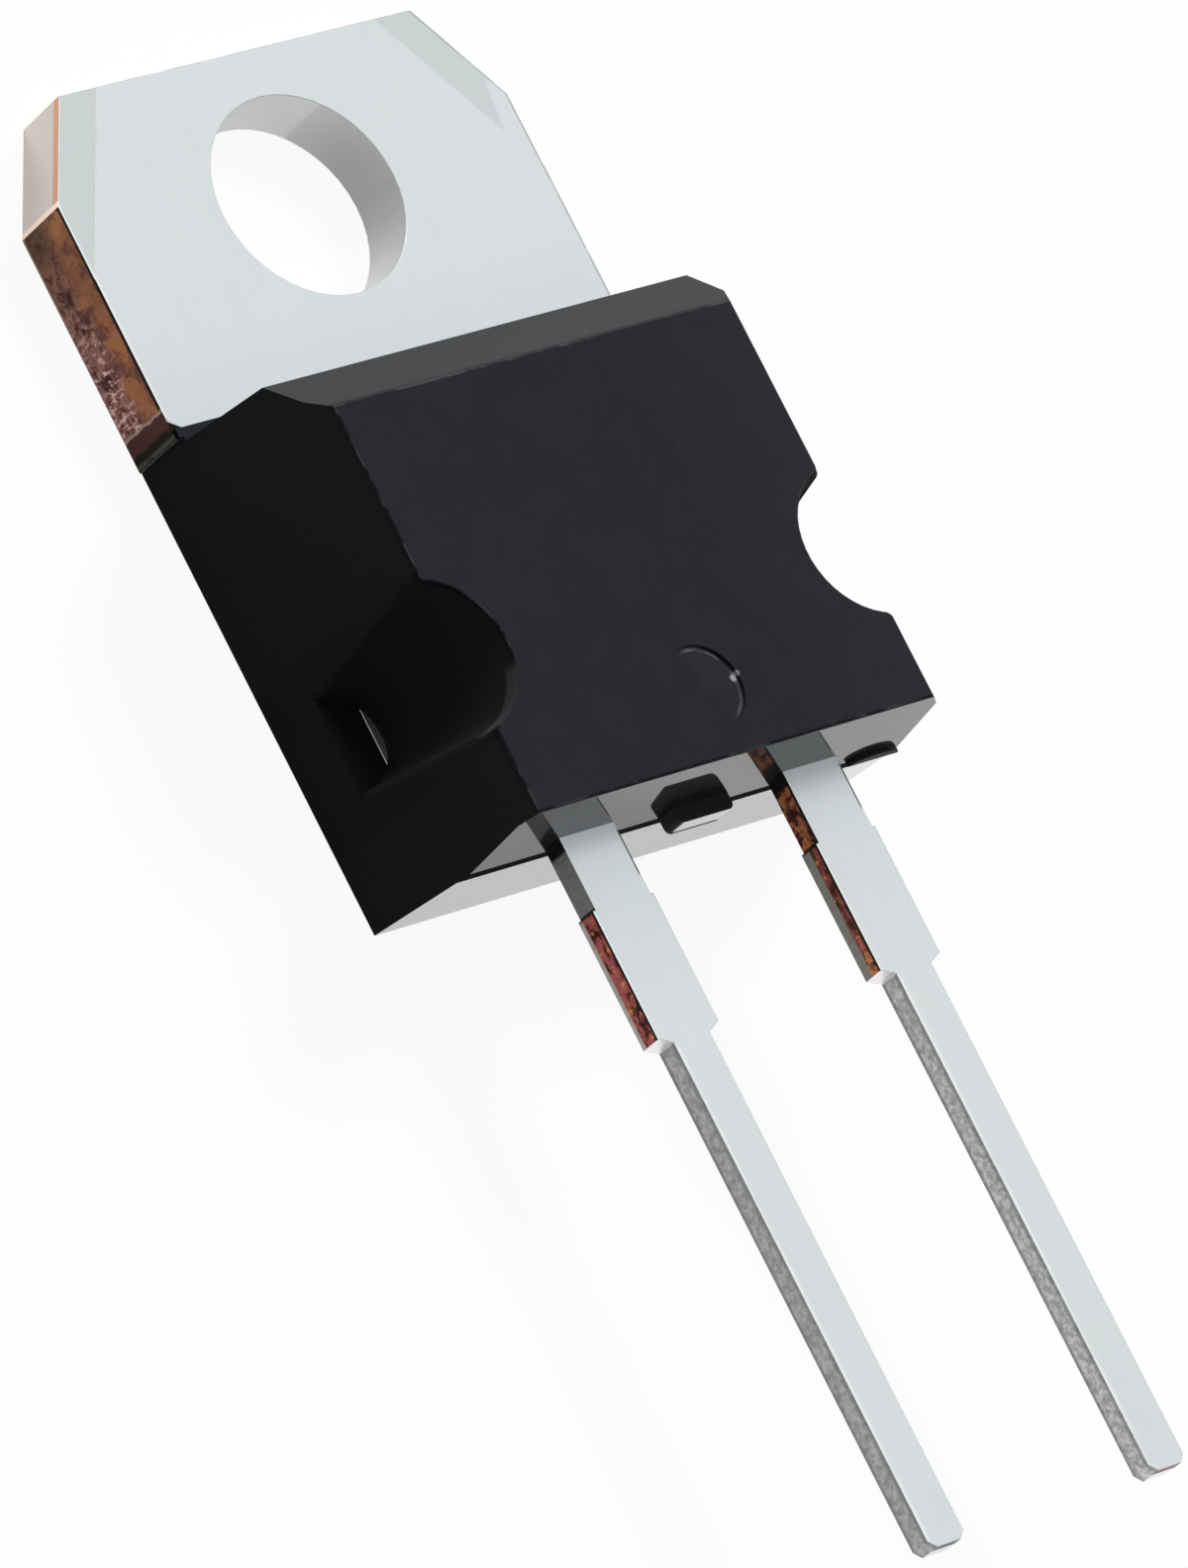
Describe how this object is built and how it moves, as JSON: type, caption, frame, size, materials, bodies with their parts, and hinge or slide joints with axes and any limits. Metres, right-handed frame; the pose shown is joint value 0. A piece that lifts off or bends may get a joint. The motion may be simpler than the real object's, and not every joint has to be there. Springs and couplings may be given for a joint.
{
  "type": "schottky diode",
  "caption": "Two-lead power diode in a black moulded package with a bare metal mounting tab, a mounting hole, side notches and flat stepped leads.",
  "frame": {"origin": "on the axis of the mounting hole, in the flat back face of the tab", "axes": "+X across the tab, +Y towards the tab's free end, +Z out of the moulded front face; the leads point towards -Y"},
  "size_m": [0.0102, 0.0289, 0.0045],
  "materials": {
    "moulding_compound": "fine matt face with smooth glossy lead end",
    "tinned_copper": "satin tin plating, bare copper on the cut sides",
    "silicon": "polished",
    "solder": "dull",
    "wire_aluminium": "drawn"
  },
  "bodies": {
    "root": {"moulded_body": "moulding_compound", "heatsink_with_cathode_lead": "tinned_copper", "anode_lead": "tinned_copper", "schottky_die": "silicon", "die_solder": "solder", "bond_wire_1": "wire_aluminium", "bond_wire_2": "wire_aluminium"}
  },
  "joints": []
}
